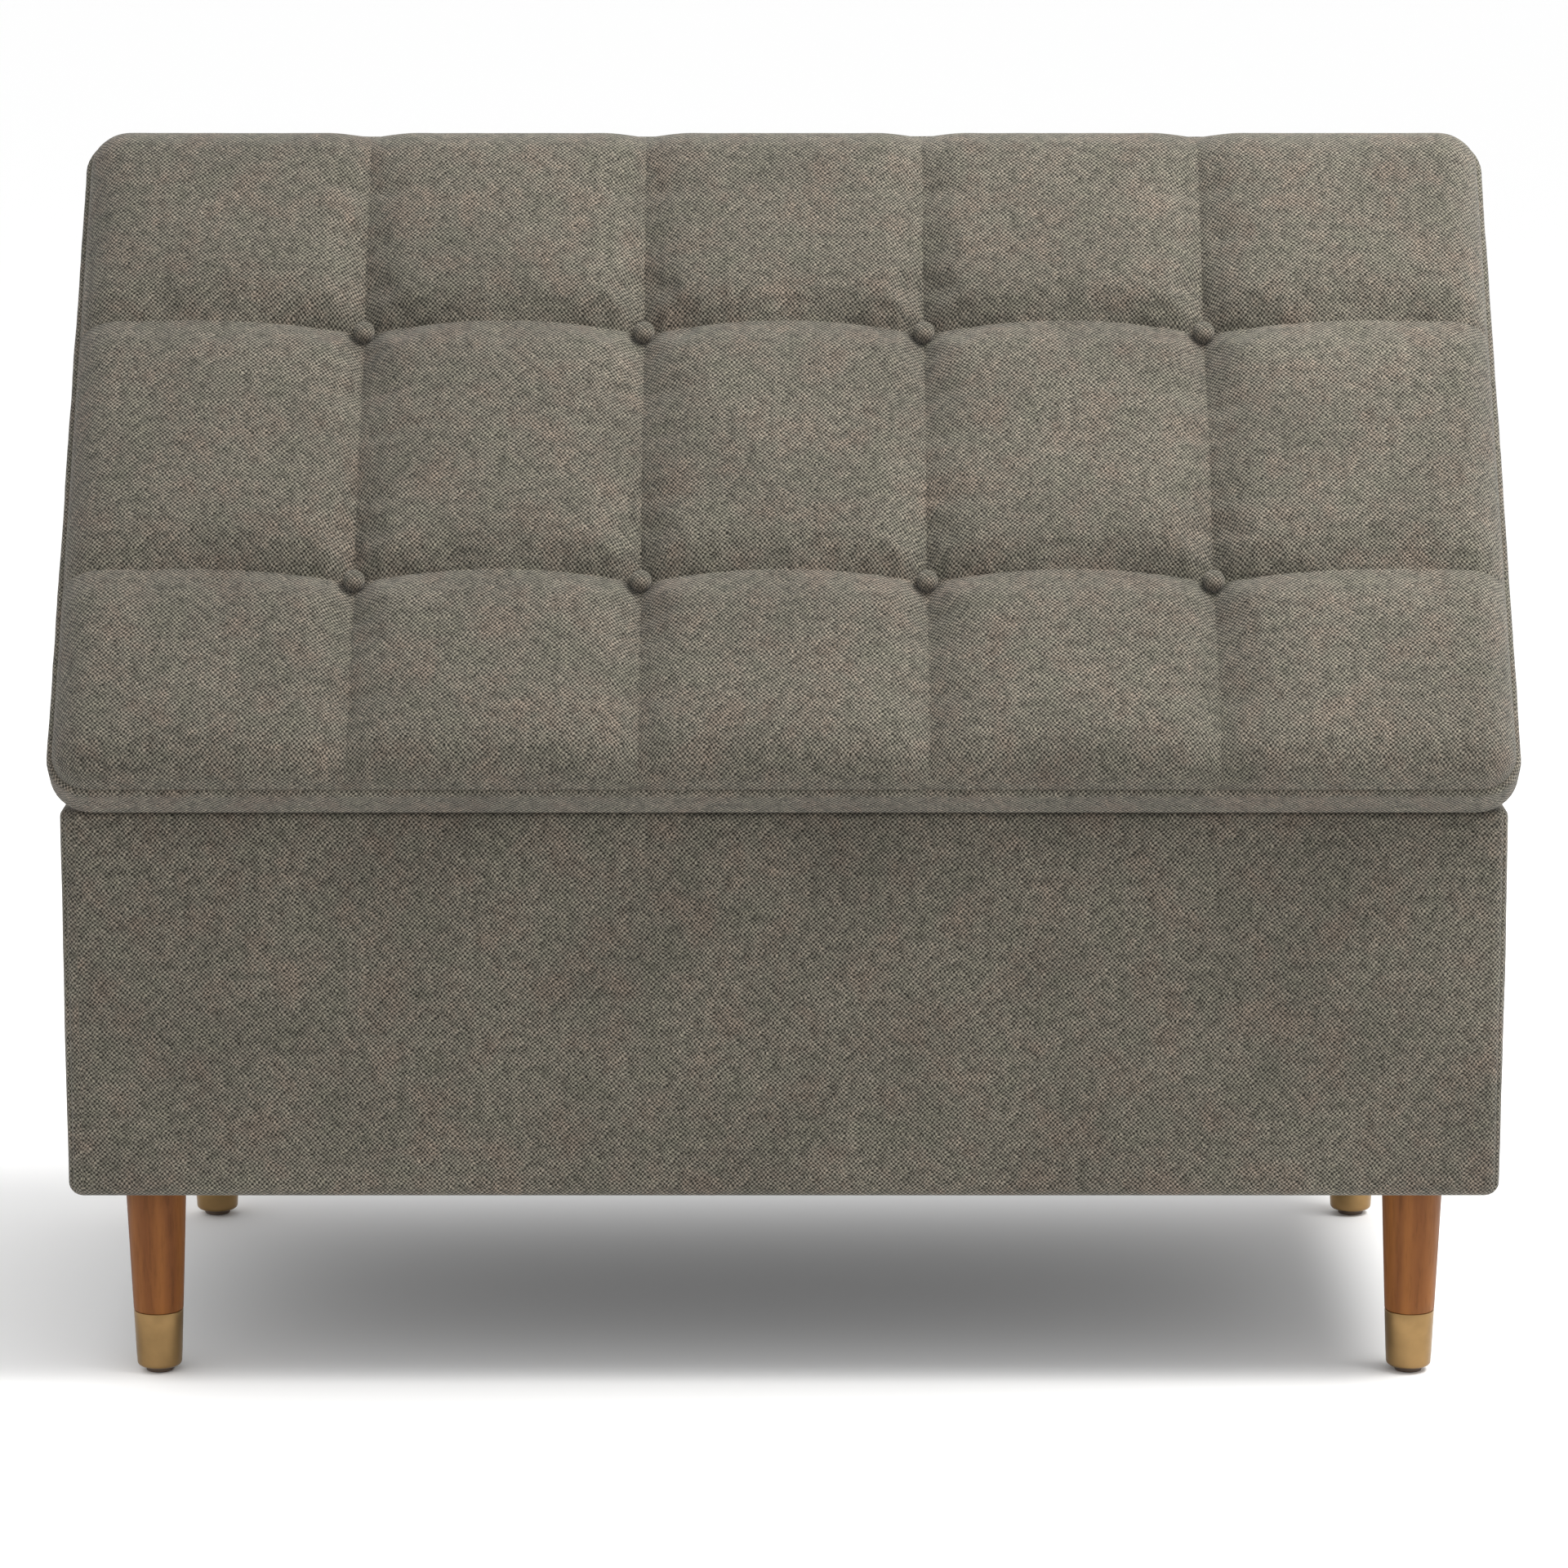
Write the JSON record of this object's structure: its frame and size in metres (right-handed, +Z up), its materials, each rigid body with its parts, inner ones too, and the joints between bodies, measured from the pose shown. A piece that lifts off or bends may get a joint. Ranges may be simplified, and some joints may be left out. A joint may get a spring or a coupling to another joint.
{
  "type": "storage bench",
  "caption": "Upholstered storage bench with a tufted lid hinged along one long side, held open by gas struts, on turned wooden legs with brass caps.",
  "frame": {"origin": "on the floor, under the middle of the box's footprint", "axes": "+X along the bench's width, +Y from the hinge side to the opening side, +Z up"},
  "size_m": [1.012, 0.5694, 0.8606],
  "materials": {
    "tweed": "matte",
    "stained_wood": "satin",
    "brass_cap": "satin",
    "panel_board": "matte",
    "polyester_wadding": "matte",
    "foam": "matte",
    "lining_cloth": "matte",
    "glide_plastic": "matte",
    "bumper_rubber": "matte",
    "twine": "matte",
    "zinc_steel": "satin",
    "black_enamel": "satin",
    "chromed_rod": "polished"
  },
  "bodies": {
    "box": {"back_panel": "panel_board", "front_panel": "panel_board", "left_side_panel": "panel_board", "right_side_panel": "panel_board", "bottom_panel": "panel_board", "base_wadding": "polyester_wadding", "base_cover_back": "tweed", "base_cover_front": "tweed", "base_cover_left": "tweed", "base_cover_right": "tweed", "wall_lining": "lining_cloth", "floor_lining": "lining_cloth", "dust_cover": "lining_cloth", "leg_back_left": "stained_wood", "leg_back_right": "stained_wood", "leg_front_left": "stained_wood", "leg_front_right": "stained_wood", "ferrule_back_left": "brass_cap", "ferrule_back_right": "brass_cap", "ferrule_front_left": "brass_cap", "ferrule_front_right": "brass_cap", "glides": "glide_plastic", "hanger_bolts": "zinc_steel", "leg_plates": "zinc_steel", "leg_plate_screws": "zinc_steel", "carcass_screws": "zinc_steel", "hinge_base_leaf_left": "zinc_steel", "hinge_base_leaf_middle": "zinc_steel", "hinge_base_leaf_right": "zinc_steel", "hinge_pins": "zinc_steel", "hinge_base_screws": "zinc_steel", "rim_bumpers": "bumper_rubber", "strut_wall_bracket_left": "black_enamel", "strut_wall_bracket_right": "black_enamel", "strut_wall_screws": "zinc_steel"},
    "lid": {"lid_board": "panel_board", "lid_pad": "foam", "lid_edge_wadding": "polyester_wadding", "lid_top_cover": "tweed", "lid_band": "tweed", "lid_lining": "lining_cloth", "tuft_buttons": "tweed", "button_ties": "twine", "hinge_lid_leaf_left": "zinc_steel", "hinge_lid_leaf_middle": "zinc_steel", "hinge_lid_leaf_right": "zinc_steel", "hinge_lid_screws": "zinc_steel", "strut_lid_bracket_left": "black_enamel", "strut_lid_bracket_right": "black_enamel", "strut_lid_screws": "zinc_steel"},
    "strut_cylinder_left": {"strut_cylinder_left": "black_enamel"},
    "strut_rod_left": {"strut_rod_left": "chromed_rod"},
    "strut_cylinder_right": {"strut_cylinder_right": "black_enamel"},
    "strut_rod_right": {"strut_rod_right": "chromed_rod"}
  },
  "joints": [
    {"name": "lid_hinge", "type": "hinge", "parent": "box", "child": "lid", "pos_m": [0, -0.266, 0.418], "axis": [1, 0, 0], "range_deg": [-51, 0], "stiffness_Nm_per_rad": 9, "springref_deg": 131.78},
    {"name": "strut_foot_left", "type": "hinge", "parent": "box", "child": "strut_cylinder_left", "pos_m": [-0.458, -0.19415, 0.26393], "axis": [1, 0, 0], "range_deg": [-25.5, 0]},
    {"name": "strut_head_left", "type": "hinge", "parent": "lid", "child": "strut_rod_left", "pos_m": [-0.458, -0.14791, 0.54029], "axis": [1, 0, 0], "range_deg": [0, 25.5]},
    {"name": "strut_foot_right", "type": "hinge", "parent": "box", "child": "strut_cylinder_right", "pos_m": [0.458, -0.19415, 0.26393], "axis": [1, 0, 0], "range_deg": [-25.5, 0]},
    {"name": "strut_head_right", "type": "hinge", "parent": "lid", "child": "strut_rod_right", "pos_m": [0.458, -0.14791, 0.54029], "axis": [1, 0, 0], "range_deg": [0, 25.5]}
  ],
  "couplings": [
    {"joint": "strut_foot_left", "follows": "lid_hinge", "ratio": 0.5},
    {"joint": "strut_head_left", "follows": "lid_hinge", "ratio": -0.5},
    {"joint": "strut_foot_right", "follows": "lid_hinge", "ratio": 0.5},
    {"joint": "strut_head_right", "follows": "lid_hinge", "ratio": -0.5}
  ]
}
